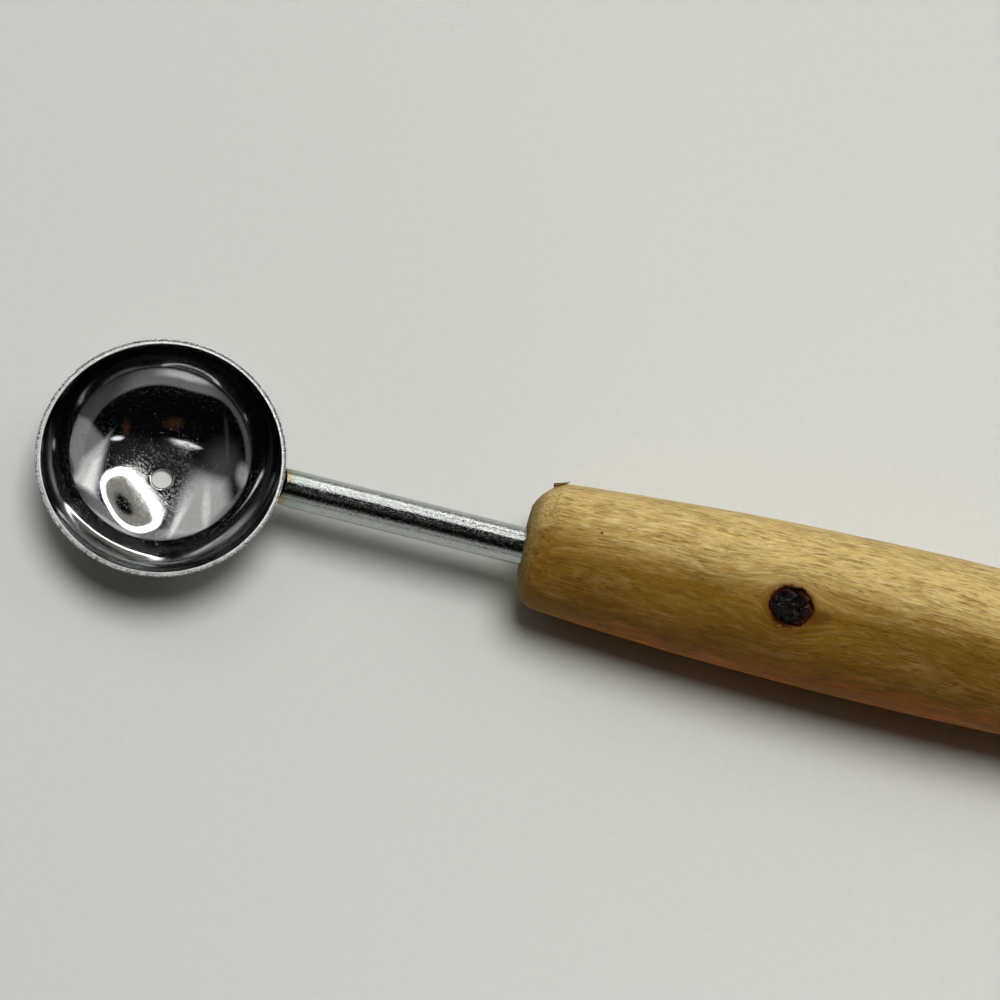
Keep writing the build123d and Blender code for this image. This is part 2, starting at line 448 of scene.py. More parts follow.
def knot_share(points):
    """How far each point lies from the knot's axis, as a share of the knot's uneven outline."""
    ahead = points[:, 0] - KNOT_FROM_FRONT
    aside = points @ knot_side
    share = np.hypot(ahead / (KNOT_LENGTH / 2), aside / (KNOT_WIDTH / 2))
    angle = np.arctan2(aside, ahead)
    around = np.c_[np.cos(angle), np.sin(angle), angle * 0]
    uneven = 1 + 0.09 * np.cos(angle) + 0.035 * np.cos(6 * angle - 0.4)
    uneven += 0.05 * bumps(around, 0.9, 11) + 0.05 * bumps(around, 0.35, 12)
    return share / uneven


def knot_depth_at(share):
    """Depth of the knot's tapered pocket at a share of its outline."""
    taper = np.clip((1 - share) / (1 - KNOT_ROOT_SHARE), 0, 1)
    return knot_room * taper


def grain_of(points):
    """Coordinates whose lines follow the wood's fibres, round the knot and in slow waves."""
    ahead = points[:, 0] - KNOT_FROM_FRONT
    radius = np.hypot(points[:, 1], points[:, 2])
    angle = np.arctan2(-points[:, 1], points[:, 2]) - knot_around
    angle = (angle + pi) % tau - pi
    aside = angle * np.maximum(radius, 1)
    slow = np.c_[points[:, 0] / 26, np.cos(angle) * 1.3, np.sin(angle) * 1.3]
    aside = aside + 1.6 * bumps(slow, 1.0, 21) + 0.5 * bumps(slow, 0.4, 22)
    swirl = 2.9**2 / np.maximum(ahead**2 + aside**2, 1e-3)
    aside = aside * np.clip(1 - swirl, 0.02, 1)
    turned = aside / np.maximum(radius, 1)
    return np.c_[points[:, 0], radius * np.sin(turned), radius * np.cos(turned)]


def ring_at(along, radius, aside=0.0):
    """A ring of points square to the handle's axis."""
    return np.c_[
        np.full(HANDLE_AROUND, along),
        radius * np.cos(handle_angles) + aside,
        radius * np.sin(handle_angles),
    ]


def bore_ring(along, radius):
    """A ring of the bore, which runs on in line with the shank."""
    return ring_at(along, radius, shank_drift * along - BORE_OFF_CENTRE)


def corner_place(turn):
    """(distance from the handle's end, radius) at a turn round the rounded corner."""
    inward = HANDLE_END_ROUNDING * (1 - cos(turn))
    return np.array((inward, face_radius + HANDLE_END_ROUNDING * sin(turn)))


def bore_rings():
    """Rings from the middle of the bore's bottom to its mouth."""
    bottom = TANG_DEPTH + GLUE_BELOW_TANG
    rings = [bore_ring(bottom, 0.0)[:1], bore_ring(bottom, bore_radius * 0.95)]
    rings += [bore_ring(along, bore_radius) for along in (bottom - 0.2, 20.0, 6.0, 2.0, 0.7)]
    rings += [bore_ring(along, bore_radius + wider) for along, wider in BORE_MOUTH]
    return rings


def corner_rings():
    """Rings round the front corner, which is cut flatter towards the far upper side."""
    start = corner_place(0)
    end = corner_place(corner_sweep)
    toward_flat = np.cos(handle_angles - radians(CORNER_FLATTEST_AT))
    flatter = CORNER_FLATNESS * ease(-0.2, 0.9, toward_flat)
    rings = []
    for share in np.linspace(0, 1, CORNER_RINGS)[1:]:
        arc = corner_place(corner_sweep * share)
        chord = start + (end - start) * share
        place = arc[None] + (chord - arc)[None] * flatter[:, None]
        across = place[:, 1] * np.cos(handle_angles)
        rings.append(np.c_[place[:, 0], across, place[:, 1] * np.sin(handle_angles)])
    return rings


def barrel_rings():
    """Rings along the barrel, closer together round the knot."""
    corner_end = corner_place(corner_sweep)[0]
    knot_low = KNOT_FROM_FRONT - KNOT_LENGTH * CLOSE_TO_KNOT
    knot_high = KNOT_FROM_FRONT + KNOT_LENGTH * CLOSE_TO_KNOT
    stations = np.concatenate(
        [
            np.arange(corner_end + 0.3, knot_low, 0.5),
            np.arange(knot_low, knot_high, 0.1),
            np.arange(knot_high, HANDLE_LENGTH - corner_end, 0.75),
        ]
    )
    return [ring_at(along, barrel_at(along)) for along in stations]


def butt_rings():
    """Rings round the back corner and in to the middle of the butt."""
    rings = []
    for share in np.linspace(1, 0, 16):
        inward, radius = corner_place(corner_sweep * share)
        rings.append(ring_at(HANDLE_LENGTH - inward, radius))
    for share in (0.85, 0.6, 0.35, 0.15):
        rings.append(ring_at(HANDLE_LENGTH, face_radius * share))
    rings.append(np.array([(HANDLE_LENGTH, 0, 0)]))
    return rings


def wear(points, radius):
    """Unevenness from hand sanding, chips along the front edge and a rough front face."""
    outer = ease(face_radius - 1.5, face_radius, radius)
    uneven = UNEVENNESS * bumps(points, 9.0, 31) + 0.012 * bumps(points, 2.2, 32)
    at_edge = ease(3.2, 1.2, points[:, 0]) * ease(-0.1, 0.3, points[:, 0])
    chips = ease(0.1, 0.5, bumps(points * (1.0, 0.8, 0.8), 0.9, 33)) * at_edge
    shrink = (uneven - 0.055) * outer - CHIP_DEPTH * chips
    points[:, 1:] *= (1 + shrink / np.maximum(radius, 1))[:, None]
    face = ease(0.3, 0.0, points[:, 0]) * ease(bore_radius, bore_radius + 0.6, radius)
    points[:, 0] += face * (0.03 + 0.03 * bumps(points, 0.7, 34) + 0.03 * bumps(points, 3.0, 35))
    near_side = ease(2.0, -7.0, points[:, 1]) * ease(1.2, 0.0, points[:, 0])
    near_side = near_side * ease(3.0, 5.0, radius)
    points[:, 0] += FACE_SLANT * near_side


def sink_pocket(points, radius):
    """The knot's pocket, its lip rounded over."""
    near = (points @ knot_up > KNOT_ROOT_RADIUS) & (radius > face_radius)
    near &= np.abs(points[:, 0] - KNOT_FROM_FRONT) < KNOT_LENGTH
    share = knot_share(points[near])
    sink = knot_depth_at(share) + POCKET_ROUNDING * ease(1.16, 1.0, share)
    points[near] -= sink[:, None] * knot_up


def make_handle():
    rings = bore_rings()
    mouth = rings[-1]
    edge = ring_at(0, face_radius)
    rings += [mouth + (edge - mouth) * share for share in np.linspace(0.15, 1, 8)]
    rings += [*corner_rings(), *barrel_rings(), *butt_rings()]
    points, faces = skin(rings)
    grain = grain_of(points)
    radius = np.hypot(points[:, 1], points[:, 2])
    wear(points, radius)
    sink_pocket(points, radius)
    return make_object("handle_body", points, faces, handle_frame, {"grain": grain})


# Knot: a tapered plug with a crumbled face, loose in its pocket

KNOT_AROUND = 160
KNOT_FACE_RINGS = 46
KNOT_GAP = 0.04
FACE_BELOW_SKIN = 0.16
LUMP_DEPTH = 0.55
HOLLOW_DEPTH = 0.45
WORN_EDGE_DEPTH = 0.25


def make_knot():
    angles = np.linspace(0, tau, KNOT_AROUND, endpoint=False)
    ahead = np.cos(angles) * KNOT_LENGTH / 2
    aside = np.sin(angles) * KNOT_WIDTH / 2
    outline = np.c_[KNOT_FROM_FRONT + ahead, np.outer(aside, knot_side[1:])]
    full_share = knot_share(outline)

    def ring(share, depth):
        scale = share / full_share
        along = KNOT_FROM_FRONT + ahead * scale
        across = aside * scale
        rise = np.sqrt(np.maximum(barrel_at(along) ** 2 - across**2, 0)) - depth
        return np.c_[along, across[:, None] * knot_side[1:] + rise[:, None] * knot_up[1:]]

    rings = []
    for depth in np.linspace(knot_room - 0.1, 0.5, 12):
        taper = 1 - (1 - KNOT_ROOT_SHARE) * depth / knot_room
        rings.append(ring(taper - KNOT_GAP, depth))
    first_of_face = 1 + len(rings) * KNOT_AROUND
    for share in np.linspace(0.955, 0.02, KNOT_FACE_RINGS):
        rings.append(ring(share, FACE_BELOW_SKIN))
    points, faces = capped(rings)

    face = points[first_of_face:]
    share = knot_share(face)
    lumps = np.abs(bumps(face, 1.25, 41)) + 0.45 * np.abs(bumps(face, 0.6, 42))
    lumps += 0.14 * bumps(face, 0.25, 43)
    hollow = HOLLOW_DEPTH * ease(-0.1, 0.5, bumps(face, 1.6, 44))
    drop = LUMP_DEPTH * lumps + hollow + WORN_EDGE_DEPTH * ease(0.7, 1.0, share) - 0.12
    points[first_of_face:] -= np.maximum(drop, 0.02)[:, None] * knot_up
    return make_object("knot", points, faces, handle_frame)


# Splinter: a dark fibre torn from the front corner, its root in the wood and its tip lifted

SPLINTER_TURN = 62.0
SPLINTER_START = 1.9
SPLINTER_LENGTH = 1.8
SPLINTER_LIFT = 0.95
SPLINTER_SUNK = 0.12
SPLINTER_HALF_WIDTH = 0.5
SPLINTER_HALF_THICKNESS = 0.21
SPLINTER_RINGS = 30
SPLINTER_AROUND = 12


def skin_radius_at(along):
    """Radius of the handle's skin near its front."""
    if along >= corner_place(corner_sweep)[0]:
        return float(barrel_at(along))
    return face_radius + sqrt(HANDLE_END_ROUNDING**2 - (HANDLE_END_ROUNDING - along) ** 2)


def make_splinter():
    turn = radians(SPLINTER_TURN)
    up = np.array((0, sin(turn), cos(turn)))
    side = np.array((0, cos(turn), -sin(turn)))
    lean = up - np.array((0.25, 0, 0))
    angle = np.linspace(0, tau, SPLINTER_AROUND, endpoint=False)
    rings = []
    for share in np.linspace(0, 1, SPLINTER_RINGS):
        along = SPLINTER_START + SPLINTER_LENGTH * share
        lift = SPLINTER_LIFT * max(share - 0.35, 0) ** 1.6
        rise = skin_radius_at(along) - SPLINTER_SUNK + lift
        wide = SPLINTER_HALF_WIDTH * sin(pi * (0.12 + 0.88 * share) ** 0.7) ** 0.8 + 0.015
        thick = SPLINTER_HALF_THICKNESS * (1 - share) ** 0.6 + 0.012
        middle = np.array((along, 0, 0)) + up * rise + side * 0.1 * sin(4 * share)
        rings.append(
            middle + np.outer(np.cos(angle) * wide, side) + np.outer(np.sin(angle) * thick, lean)
        )
    points, faces = capped(rings)
    points += 0.03 * np.c_[bumps(points, 0.3, 51), bumps(points, 0.3, 52), bumps(points, 0.3, 53)]
    return make_object("splinter", points, faces, handle_frame)


# Weld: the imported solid's mesh, melted into a lumpy bead

WELD_VOXEL = 0.09
WELD_SMOOTHING = 6


def make_weld():
    melted = bpy.data.objects.new("weld_bead", nodes["weld"].data.copy())
    bpy.context.scene.collection.objects.link(melted)
    remesh = melted.modifiers.new("melt", "REMESH")
    remesh.mode = "VOXEL"
    remesh.voxel_size = WELD_VOXEL * MM
    smooth = melted.modifiers.new("flow", "SMOOTH")
    smooth.factor = 0.5
    smooth.iterations = WELD_SMOOTHING
    depsgraph = bpy.context.evaluated_depsgraph_get()
    final = bpy.data.meshes.new_from_object(melted.evaluated_get(depsgraph))
    melted.modifiers.clear()
    melted.data = final
    spots = np.array([v.co for v in final.vertices]) / MM
    normals = np.array([v.normal for v in final.vertices])
    lumps = 0.06 * bumps(spots, 0.9, 61) + 0.03 * bumps(spots, 0.35, 62)
    final.vertices.foreach_set("co", ((spots + lumps[:, None] * normals) * MM).ravel())
    final.polygons.foreach_set("use_smooth", [True] * len(final.polygons))
    final.update()
    return melted


# Cup plating. Each pair of radii, heights or distances is where a mark begins and is full

PLATE = colour(200, 203, 202)
PLATE_LIGHT = colour(210, 211, 209)
PLATE_SHADED = colour(112, 114, 114)
PIT_DARK = colour(84, 84, 82)
CUP_STRAW = colour(196, 172, 118)
CUP_BROWN = colour(118, 78, 48)
TORN_DARK = colour(38, 38, 37)
TORN_LIGHT = colour(196, 197, 194)
BEAD_HIGHLIGHT = colour(244, 244, 241)
ETCHED_RADII = (7.8, 4.6)
BARE_VENT_RADII = (1.25, 2.0)
SHADED_WALL_RADII = (10.6, 13.6)
TINTED_RADII = (14.2, 14.6)
BEAD_RADII = (14.72, 14.56)
LIP_HEIGHTS = (-0.19, -0.12)
CUP_STRAW_REACH = (4.0, 2.4)
CUP_BROWN_REACH = (3.1, 2.0)


def hairlines(tree, place, fineness, cutoff):
    """Straight scratches in three directions, 1 on a scratch."""
    scratches = None
    for turn, tilt in ((0.3, 0.2), (1.4, -0.3), (2.5, 0.1)):
        lined = tree.mapping(place, turn=(tilt, 0.2, turn))
        line = tree.streaks(lined, (0.12, fineness, fineness), 1.0, 0.4)
        line = tree.step(line, cutoff, cutoff + 0.05)
        scratches = line if scratches is None else tree.math("MAXIMUM", scratches, line)
    return scratches


def cup_material():
    material, tree, shader = new_material("cup_plating")
    place = tree.local(cup_frame)
    x, y, z = tree.split(place)
    from_axis = tree.math("SQRT", tree.plus(tree.times(x, x), tree.times(y, y)))
    clouds = tree.noise(place, 0.35, 3.0, 0.6)
    pits = tree.step(tree.noise(place, 4.6, 3.0, 0.6), 0.335, 0.29)
    specks = tree.step(tree.noise(place, 9.0, 2.0, 0.5), 0.67, 0.73)
    scratches = hairlines(tree, place, 8.0, 0.715)
    wall = tree.step(from_axis, *SHADED_WALL_RADII)
    at_lip = tree.step(z, *LIP_HEIGHTS)

    # Etched and stippled ring about the vent
    drift = tree.plus(from_axis, tree.times(clouds, 3.0))
    vent_share = tree.step(from_axis, *BARE_VENT_RADII, 0.4, 1.0)
    etched = tree.times(tree.step(drift, *ETCHED_RADII), vent_share)
    grit = tree.noise(place, 3.0, 4.0, 0.75)
    stipple = tree.times(etched, tree.step(grit, 0.44, 0.60))

    # Plating with straw and brown heat tint beside the weld, and painted shade high on the wall,
    # darker to dim its reflections
    heat = tree.distance(place, cup_frame.inverted() @ shank_end)
    heat = tree.plus(heat, tree.times(tree.noise(place, 0.9, 2.0), 1.6))
    at_rim = tree.step(from_axis, *TINTED_RADII)
    plate = tree.layered(
        tree.mix(clouds, PLATE, PLATE_LIGHT),
        (tree.times(tree.step(heat, *CUP_STRAW_REACH), at_rim), 0.7, CUP_STRAW),
        (tree.times(tree.step(heat, *CUP_BROWN_REACH), at_rim), 0.75, CUP_BROWN),
        (pits, 0.6, PIT_DARK),
        # Painted shade: the plating darker high on the wall, to dim its reflections
        (wall, 0.84, PLATE_SHADED),
    )

    # The torn lip, with a painted highlight along its inner bead
    shear = tree.noise(place, 5.0, 3.0, 0.65)
    torn = tree.mix(tree.step(shear, 0.40, 0.54), TORN_DARK, TORN_LIGHT)
    bead = tree.step(from_axis, *BEAD_RADII)
    # Painted highlight: a near-white line along the lip's inner bead
    torn = tree.mix(bead, torn, BEAD_HIGHLIGHT)
    tree.put(shader.inputs["Metallic"], tree.step(at_lip, 0.0, 1.0, 1.0, 0.62))

    rough = tree.plus(0.012, tree.times(clouds, 0.026))
    for mark, more in ((stipple, 0.24), (etched, 0.03), (specks, 0.14), (scratches, 0.08)):
        rough = tree.plus(rough, tree.times(mark, more))
    rough = tree.plus(rough, tree.times(at_lip, tree.step(bead, 0.0, 1.0, 0.28, 0.16)))
    rough = tree.plus(rough, tree.times(wall, 0.045))
    tree.surface(
        shader,
        tree.mix(at_lip, plate, torn),
        rough,
        (tree.noise(place, 1.6, 3.0, 0.6), 0.002),
        (pits, -0.008),
        (tree.times(etched, grit), 0.014),
        (specks, 0.003),
        (scratches, -0.0015),
        (tree.times(at_lip, shear), 0.06),
    )
    return material


# Plating of the shank. A reach is measured from the shank's welded end

SHANK_PLATE = colour(176, 180, 178)
SHANK_PLATE_LIGHT = colour(194, 196, 194)
PEBBLE_DARK = colour(112, 114, 112)
SHANK_STRAW = colour(146, 164, 148)
SHANK_BROWN = colour(150, 128, 88)
SHANK_STRAW_REACH = (5.2, 1.4)
SHANK_BROWN_REACH = (1.7, 0.8)


def shank_material():
    material, tree, shader = new_material("shank_plating")
    place = tree.local(shank_frame)
    from_weld = tree.plus(tree.split(place)[0], VISIBLE_SHANK)
    pebbles = tree.streaks(place, (2.4, 5.4, 5.4), 4.0, 0.72)
    drawn = tree.streaks(place, (0.22, 6.0, 6.0), 3.0, 0.6)
    scratch = tree.step(tree.streaks(place, (0.06, 9.0, 9.0), 1.0, 0.4), 0.70, 0.76)
    pits = tree.step(tree.noise(place, 6.0, 3.0, 0.6), 0.34, 0.28)
    clouds = tree.noise(place, 0.5, 3.0, 0.6)

    heat = tree.plus(from_weld, tree.times(tree.noise(place, 1.2, 2.0), 1.4))
    plate = tree.layered(
        tree.mix(clouds, SHANK_PLATE, SHANK_PLATE_LIGHT),
        (tree.step(pebbles, 0.52, 0.36), 0.45, PEBBLE_DARK),
        (tree.step(heat, *SHANK_STRAW_REACH), 0.6, SHANK_STRAW),
        (tree.step(heat, *SHANK_BROWN_REACH), 0.7, SHANK_BROWN),
        (pits, 0.6, PIT_DARK),
    )
    shader.inputs["Metallic"].default_value = 1.0
    rough = tree.plus(0.06, tree.times(clouds, 0.04))
    rough = tree.plus(rough, tree.step(pebbles, 0.42, 0.64, 0.0, 0.20))
    rough = tree.plus(rough, tree.times(scratch, 0.12))
    marks = ((pebbles, 0.024), (drawn, 0.006), (scratch, -0.003), (pits, -0.008))
    tree.surface(shader, plate, rough, *marks)
    return material


def weld_material():
    material, tree, shader = new_material("weld_metal")
    place = tree.local(shank_frame)
    clouds = tree.noise(place, 1.1, 4.0, 0.6)
    scale = tree.noise(place, 4.5, 4.0, 0.65)
    metal = tree.mix(tree.step(clouds, 0.35, 0.65), colour(118, 92, 62), colour(62, 48, 38))
    metal = tree.mix(tree.step(scale, 0.55, 0.7), metal, colour(168, 150, 112))
    shader.inputs["Metallic"].default_value = 1.0
    tree.surface(shader, metal, tree.step(scale, 0.3, 0.7, 0.32, 0.6), (scale, 0.05))
    return material


def glue_material():
    material, tree, shader = new_material("glue")
    place = tree.local(handle_frame)
    clouds = tree.noise(place, 1.3, 3.0, 0.6)
    amber = tree.mix(clouds, colour(120, 84, 42), colour(74, 48, 22))
    shader.inputs["Coat Weight"].default_value = 0.4
    rough = tree.step(clouds, 0.3, 0.7, 0.2, 0.35)
    tree.surface(shader, amber, rough, (tree.noise(place, 3.0, 3.0), 0.05))
    return material


# Wood of the handle. Streaks are given by their scale along the grain and across it

# The near and far wood colours are painted shade and painted light: the far, upper side is paler as
# if lit
SHADED_NEAR_WOOD = colour(142, 104, 37)
LIT_FAR_WOOD = colour(225, 194, 125)
DULL_BAND = colour(150, 120, 60)
BLOTCH = colour(118, 80, 26)
PALE_PATCH = colour(206, 180, 120)
OLIVE_STAIN = colour(112, 84, 22)
# Orange heartwood colour, partly painted warm bounce light low on the shaded near side
HEARTWOOD_AND_BOUNCE = colour(204, 106, 22)
LIT_FLECK = colour(234, 211, 154)
DARK_FLECK = colour(118, 84, 30)
DARK_FIBRE = colour(118, 80, 26)
# Pores are painted darker on the shaded near side and lighter on the lit far side
SHADED_NEAR_PORE = colour(84, 52, 14)
LIT_FAR_PORE = colour(112, 78, 30)
VESSEL = colour(92, 60, 20)
KNOT_HALO = colour(104, 66, 22)
KNOT_RING = colour(52, 17, 8)
KNOT_TAIL = colour(92, 56, 16)
PRICK_DARK = colour(38, 24, 12)
BARE_PALE = colour(170, 150, 102)
BARE_SOILED = colour(112, 92, 52)
WOOD_SHEEN = colour(255, 214, 160)

# Darker olive stains: distance from the front, turn from the top, half sizes, share
STAINS = (
    (9.5, 33, (6.0, 2.6, 4.0), 0.45),
    (27.0, 42, (6.5, 2.4, 4.0), 0.55),
    (22.0, 14, (5.0, 2.0, 4.0), 0.3),
    (51.0, 26, (13.0, 2.6, 4.0), 0.55),
    (45.0, 60, (9.0, 2.2, 4.0), 0.3),
)
STAIN_TURN = -0.06
HALO_RADII = (4.4, 2.9)
RING_RADII = (3.35, 2.95)
TAIL_OFFSET = (3.3, -0.5, 0.0)
TAIL_HALF_SIZES = (2.2, 0.9, 1.6)
TAIL_TURN = 0.15
PRICK_FROM_FRONT = 8.4
PRICK_TURN = -4.0
PRICK_RADII = (0.22, 0.1)


def ragged_oval(tree, place, spot, half_sizes, turn, ragged):
    """Distance from a spot as a share of an oval's half sizes, with a ragged edge."""
    near = tree.mapping(place, tuple(spot), (0, 0, turn), half_sizes, kind="TEXTURE")
    return tree.plus(tree.length(near), ragged)


def pore_marks(tree, dashes, drifts, low, high, gain):
    """1 on short dashes that are commoner where the drifts are high."""
    limit = tree.step(drifts, *low, *high)
    return tree.math("MULTIPLY", tree.math("SUBTRACT", limit, dashes), gain, clamp=True)


def wood_material():
    material, tree, shader = new_material("handle_wood")
    grain = tree.add("ShaderNodeAttribute", attribute_name="grain", out=1)
    place = tree.local(handle_frame)
    along, across, up = tree.split(place)
    bands = tree.streaks(grain, (0.04, 0.36, 0.36), 4.0, 0.6)
    broad = tree.streaks(grain, (0.07, 0.16, 0.16), 3.0, 0.6)
    patches = tree.streaks(grain, (0.15, 0.8, 0.8), 4.0, 0.62)
    ragged = tree.streaks(grain, (0.35, 1.3, 1.3), 5.0, 0.72)
    fibres = tree.streaks(grain, (0.45, 5.2, 5.2), 4.0, 0.72)
    flecks = tree.streaks(grain, (0.36, 2.7, 2.7), 4.0, 0.62)

    # Painted light: the far side is painted pale as if lit, and the near one a shaded golden brown,
    # in long drifting bands, with mottled patches a few millimetres long
    lit_far_side = tree.plus(tree.times(across, 0.9), tree.times(up, 0.44))
    lit_far_side = tree.plus(lit_far_side, tree.times(bands, 9.0))
    # Painted light: paler towards the far, upper side, where the light falls
    painted_lit_share = tree.step(lit_far_side, 4.6, 12.5)
    blotch = tree.step(patches, 0.5, 0.34)
    # Dark blotches are thicker on the near side, following the painted shade
    blotch = tree.times(blotch, tree.step(painted_lit_share, 0.0, 1.0, 0.55, 0.2))
    wood = tree.layered(
        tree.mix(painted_lit_share, SHADED_NEAR_WOOD, LIT_FAR_WOOD),
        (tree.step(broad, 0.48, 0.68), 0.35, DULL_BAND),
        (blotch, 1.0, BLOTCH),
        (tree.step(patches, 0.54, 0.72), 0.28, PALE_PATCH),
    )
    stain_edge = tree.times(ragged, 0.9)
    for distance, turn, half_sizes, share in STAINS:
        spot = on_barrel(distance, turn)
        mark = ragged_oval(tree, place, spot, half_sizes, STAIN_TURN, stain_edge)
        wood = tree.layered(wood, (tree.step(mark, 1.75, 0.75), share, OLIVE_STAIN))

    # Where orange-brown heartwood shows, partly painted warm bounce light on the shaded underside:
    # in patches low on the near side, less at the front
    low_side = tree.plus(tree.times(across, -0.88), tree.times(up, -0.48))
    low_side = tree.plus(low_side, tree.times(patches, 8.0))
    low_side = tree.plus(low_side, tree.times(ragged, 4.0))
    heart_and_bounce = tree.times(tree.step(low_side, 10.6, 15.6), tree.step(along, 1.0, 14.0, 0.3, 1.0))
    heart_and_bounce = tree.times(heart_and_bounce, tree.step(broad, 0.38, 0.56, 0.4, 0.85))
    heart_and_bounce = tree.times(heart_and_bounce, tree.step(up, -8.5, -3.0, 0.3, 1.0))

    # Pores: short dark dashes, in drifts, and longer vessels
    drifts = tree.streaks(grain, (0.10, 0.5, 0.5), 2.0, 0.5)
    dashes = tree.streaks(grain, (0.8, 5.0, 5.0), 2.0, 0.5)
    pore = pore_marks(tree, dashes, drifts, (0.32, 0.62), (0.36, 0.46), 12.0)
    long_dashes = tree.streaks(grain, (0.36, 3.8, 3.8), 2.0, 0.5)
    vessel = pore_marks(tree, long_dashes, drifts, (0.36, 0.62), (0.28, 0.385), 14.0)

    # Stained wood round the knot, drawn out behind it, and a pin prick
    knot_spot = on_barrel(KNOT_FROM_FRONT, KNOT_TURN)
    frayed = tree.times(tree.noise(place, 1.6, 3.0, 0.6), 1.1)
    frayed = tree.plus(tree.distance(place, knot_spot), frayed)
    tail = tree.times(tree.noise(place, 2.2, 3.0, 0.6), 0.8)
    tail_spot = knot_spot + TAIL_OFFSET
    tail = ragged_oval(tree, place, tail_spot, TAIL_HALF_SIZES, TAIL_TURN, tail)
    prick = tree.distance(place, on_barrel(PRICK_FROM_FRONT, PRICK_TURN))
    prick = tree.step(prick, *PRICK_RADII)

    # Bare, greyer fibres on the front face and its edge
    bare = tree.plus(along, tree.times(tree.noise(place, 0.8, 4.0, 0.7), -1.8))
    bare = tree.step(bare, 0.55, -0.5)
    soil = tree.step(tree.noise(place, 2.6, 4.0, 0.7), 0.35, 0.65)

    # Painted glints, silvery flecks where fibres catch the light and mostly on the lit side, come
    # first, and the bare fibres last
    lit = tree.times(tree.step(flecks, 0.50, 0.68), tree.step(painted_lit_share, 0.0, 0.9, 0.10, 0.75))
    wood = tree.layered(
        wood,
        (lit, 1.0, LIT_FLECK),
        (heart_and_bounce, 1.0, HEARTWOOD_AND_BOUNCE),
        (tree.step(flecks, 0.48, 0.33), 0.5, DARK_FLECK),
        (tree.step(fibres, 0.42, 0.70), 0.42, DARK_FIBRE),
        # Pore colour follows the painted light: darker on the shaded near side
        (pore, 0.4, tree.mix(painted_lit_share, SHADED_NEAR_PORE, LIT_FAR_PORE)),
        (vessel, 0.5, VESSEL),
        (tree.step(frayed, *HALO_RADII), 0.6, KNOT_HALO),
        (tree.step(frayed, *RING_RADII), 0.9, KNOT_RING),
        (tree.step(tail, 1.9, 0.8), 0.7, KNOT_TAIL),
        (prick, 0.85, PRICK_DARK),
        (bare, 0.75, tree.mix(soil, BARE_PALE, BARE_SOILED)),
    )
    rough = tree.step(fibres, 0.3, 0.8, 0.38, 0.52)
    rough = tree.plus(rough, tree.times(bare, 0.3))
    shader.inputs["Specular IOR Level"].default_value = 0.04
    shader.inputs["Specular Tint"].default_value = WOOD_SHEEN
    torn = tree.times(bare, tree.noise(place, 3.5, 4.0, 0.7))
    marks = ((fibres, 0.012), (pore, -0.02), (vessel, -0.035), (torn, 0.05), (prick, -0.1))
    tree.surface(shader, wood, rough, *marks)
    return material


def knot_material():
    material, tree, shader = new_material("knot_wood")
    place = tree.local(handle_frame)
    crumbs = tree.noise(place, 1.1, 4.0, 0.6)
    resin = tree.step(tree.noise(place, 1.2, 2.0), 0.5, 0.62)
    edge = tree.distance(place, on_barrel(KNOT_FROM_FRONT, KNOT_TURN))
    edge = tree.plus(edge, tree.times(tree.noise(place, 2.0, 2.0), 0.5))
    char = tree.layered(
        tree.mix(tree.step(crumbs, 0.45, 0.68), colour(6, 4, 4), colour(28, 20, 17)),
        (resin, 0.5, colour(24, 10, 6)),
        (tree.step(edge, 2.1, 2.6), 0.8, colour(58, 18, 10)),
    )
    rough = tree.step(crumbs, 0.3, 0.7, 0.24, 0.55)
    shader.inputs["Specular IOR Level"].default_value = 0.3
    shader.inputs["Coat Weight"].default_value = 0.1
    shader.inputs["Coat Roughness"].default_value = 0.12
    grit = tree.noise(place, 5.0, 3.0, 0.55)
    tree.surface(shader, char, rough, (crumbs, 0.12), (grit, 0.010))
    return material


def splinter_material():
    material, tree, shader = new_material("splinter_wood")
    fibres = tree.streaks(tree.local(handle_frame), (0.8, 7.0, 7.0), 3.0, 0.6)
    wood = tree.mix(tree.step(fibres, 0.35, 0.65), colour(142, 100, 56), colour(84, 52, 26))
    tree.surface(shader, wood, tree.step(fibres, 0.3, 0.7, 0.55, 0.75), (fibres, 0.03))
    return material


# Floor, with painted light: a little paler towards the right and most of all at the near right.
# Lengths in metres

FLOOR_HALF_WIDTH = 3.0
FLOOR_LEFT = colour(213, 215, 209)
FLOOR_NEAR_LEFT = colour(208, 210, 205)
FLOOR_RIGHT = colour(225, 226, 219)
FLOOR_NEAR_RIGHT = colour(237, 238, 231)
LEFT_TO_RIGHT = (-0.12, 0.12)
FAR_TO_NEAR = (0.0, -0.09)


def floor_material():
    material, tree, shader = new_material("table")
    place = tree.add("ShaderNodeTexCoord", out=3)
    clouds = tree.noise(place, 6.0, 3.0, 0.5)
    grit = tree.noise(place, 900.0, 2.0, 0.5)
    x, y = tree.split(place)[:2]
    # Painted light: the table's colour is paler towards the right and the near right
    to_near = tree.step(y, *FAR_TO_NEAR)
    left = tree.mix(to_near, FLOOR_LEFT, FLOOR_NEAR_LEFT)
    right = tree.mix(to_near, FLOOR_RIGHT, FLOOR_NEAR_RIGHT)
    top = tree.layered(
        tree.mix(tree.step(x, *LEFT_TO_RIGHT), left, right),
        (clouds, 0.3, colour(219, 220, 215)),
        (tree.step(grit, 0.45, 0.6), 0.04, colour(180, 180, 174)),
    )
    shader.inputs["Specular IOR Level"].default_value = 0.3
    tree.surface(shader, top, tree.step(clouds, 0.3, 0.7, 0.30, 0.36), (grit, 0.01))
    return material


def make_floor():
    signs = ((-1, -1), (1, -1), (1, 1), (-1, 1))
    corners = [(x * FLOOR_HALF_WIDTH, y * FLOOR_HALF_WIDTH, 0) for x, y in signs]
    floor = make_object("table_top", corners, [[0, 1, 2, 3]], Matrix.Identity(4))
    dress(floor, floor_material())


